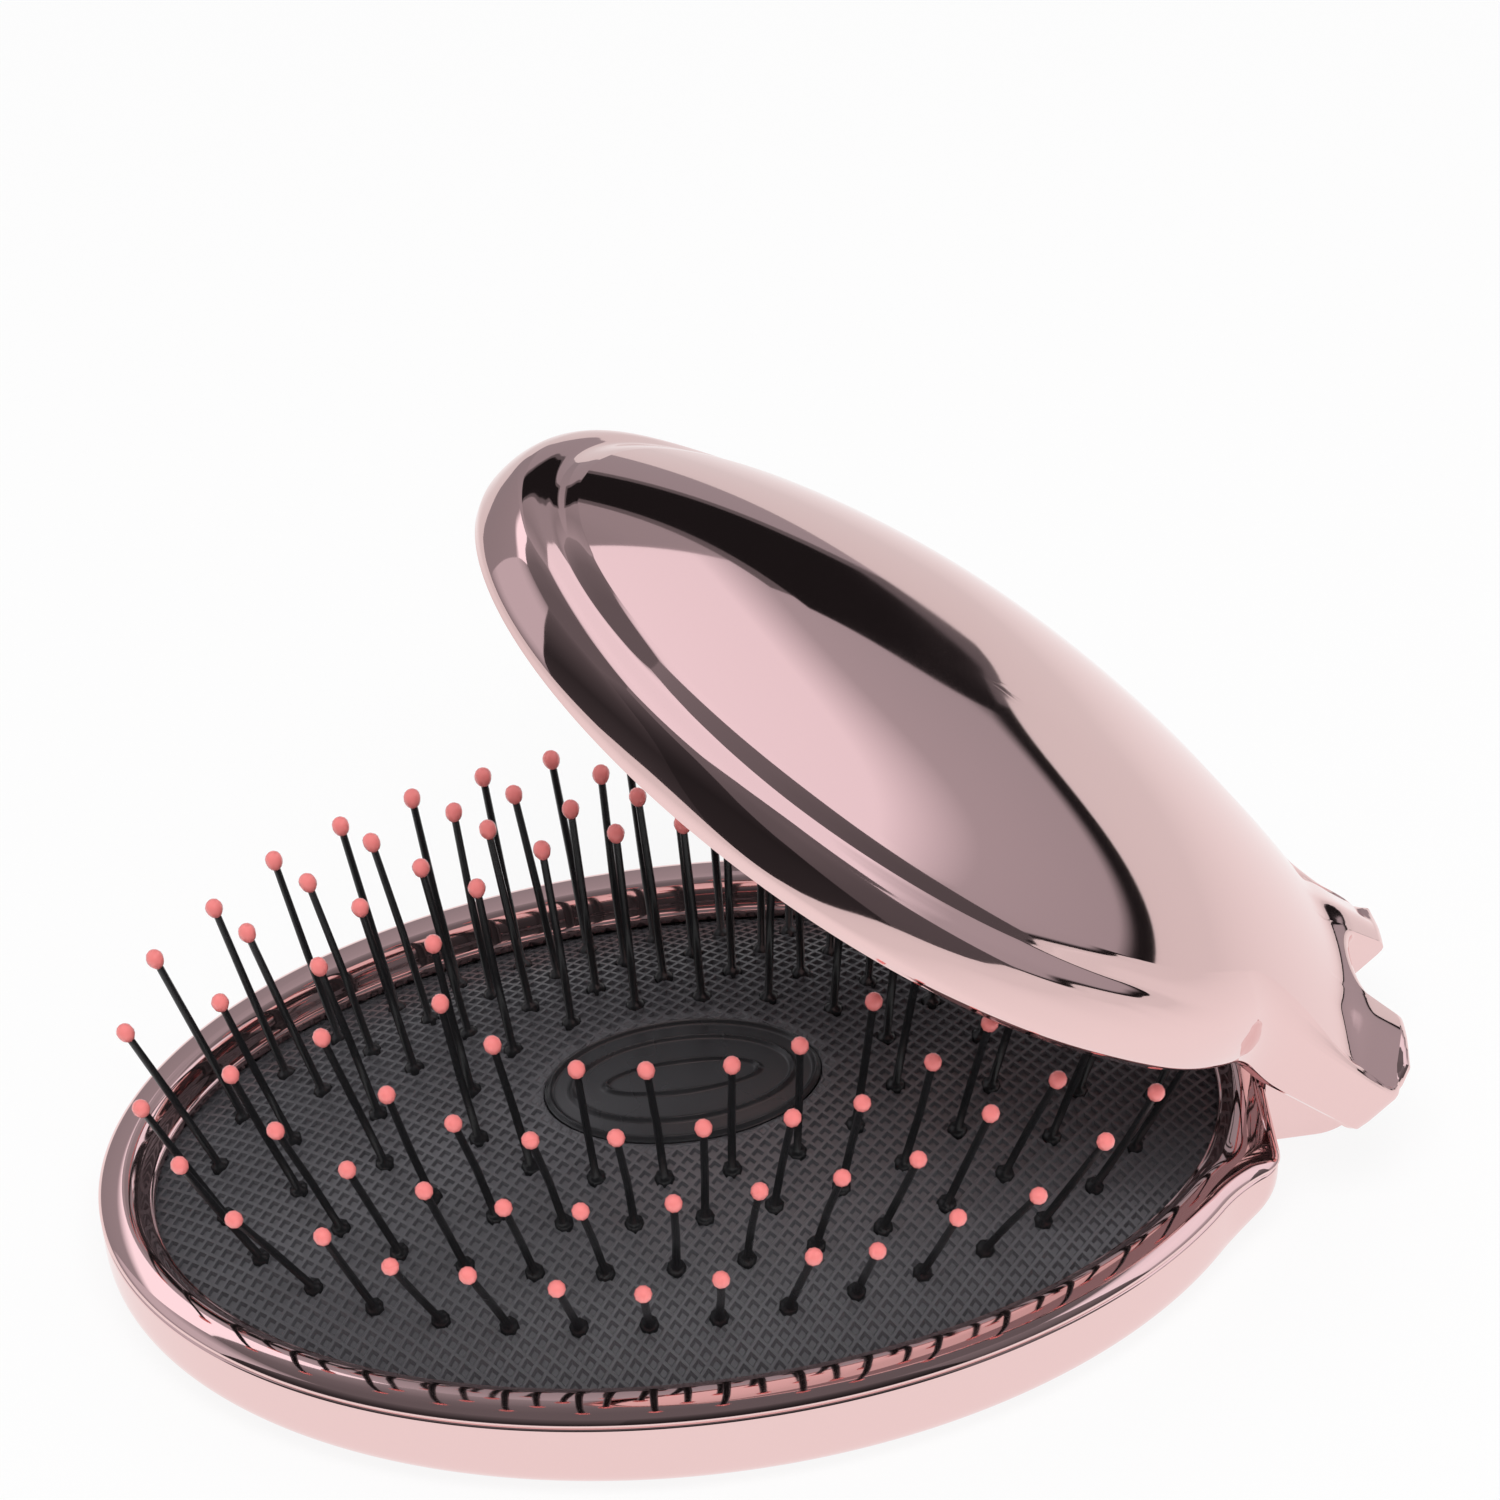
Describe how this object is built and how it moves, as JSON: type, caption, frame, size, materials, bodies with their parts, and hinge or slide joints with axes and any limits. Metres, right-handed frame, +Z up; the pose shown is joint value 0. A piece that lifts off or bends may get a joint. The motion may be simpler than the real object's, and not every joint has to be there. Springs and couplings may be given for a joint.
{
  "type": "folding travel brush",
  "caption": "Folding pocket hair brush with an oval mirror-plated head, a snap-through bristle cushion and a domed handle that folds over it.",
  "frame": {"origin": "centre of the head's oval on its flat base", "axes": "+X from the oval's centre to the hinge, +Z up out of the bristles, +Y to the far side"},
  "size_m": [0.1057, 0.061, 0.081],
  "materials": {
    "plating": "mirror rose gold",
    "rubber": "matte waffle",
    "nylon": "gloss black",
    "coral": "gloss coral",
    "inner_plastic": "matte black",
    "steel": "satin"
  },
  "bodies": {
    "head": {"head_back_shell": "plating", "head_rim_frame": "plating", "cushion": "rubber", "clamp_ring": "inner_plastic", "clamp_screws": "steel", "guide_bush": "inner_plastic"},
    "hinge_core": {"hinge_pin": "steel", "friction_washer_near": "inner_plastic", "friction_washer_far": "inner_plastic"},
    "handle": {"handle_shell": "plating", "hinge_cap": "plating"},
    "popper": {"press_pad": "rubber", "plunger": "inner_plastic", "back_button": "plating", "plunger_screw": "steel"},
    "row_1": {"bristles_row_1": "nylon", "tips_row_1": "coral"},
    "row_2": {"bristles_row_2": "nylon", "tips_row_2": "coral"},
    "row_3": {"bristles_row_3": "nylon", "tips_row_3": "coral"},
    "row_4": {"bristles_row_4": "nylon", "tips_row_4": "coral"}
  },
  "joints": [
    {"name": "fold_shut", "type": "hinge", "parent": "head", "child": "hinge_core", "pos_m": [0.053, 0, 0.0129], "axis": [0, 1, 0], "range_deg": [-43.4, 0], "deforming": ["bristles_row_1", "tips_row_1", "bristles_row_2", "tips_row_2", "bristles_row_3", "tips_row_3", "bristles_row_4", "tips_row_4"]},
    {"name": "fold_open", "type": "hinge", "parent": "hinge_core", "child": "handle", "pos_m": [0.053, 0, 0.0129], "axis": [0, 1, 0], "range_deg": [0, 136.6]},
    {"name": "press_pad", "type": "slide", "parent": "head", "child": "popper", "axis": [0, 0, 1], "range_m": [-0.0067, 0], "deforming": ["cushion"]},
    {"name": "row_1_slide", "type": "slide", "parent": "head", "child": "row_1", "axis": [0, 0, 1], "range_m": [-0.00596, 0], "deforming": ["cushion"]},
    {"name": "row_2_slide", "type": "slide", "parent": "head", "child": "row_2", "axis": [0, 0, 1], "range_m": [-0.00523, 0], "deforming": ["cushion"]},
    {"name": "row_3_slide", "type": "slide", "parent": "head", "child": "row_3", "axis": [0, 0, 1], "range_m": [-0.00415, 0], "deforming": ["cushion"]},
    {"name": "row_4_slide", "type": "slide", "parent": "head", "child": "row_4", "axis": [0, 0, 1], "range_m": [-0.00281, 0], "deforming": ["cushion"]}
  ],
  "couplings": [
    {"joint": "row_1_slide", "follows": "press_pad", "ratio": 0.89},
    {"joint": "row_2_slide", "follows": "press_pad", "ratio": 0.78},
    {"joint": "row_3_slide", "follows": "press_pad", "ratio": 0.62},
    {"joint": "row_4_slide", "follows": "press_pad", "ratio": 0.42}
  ]
}
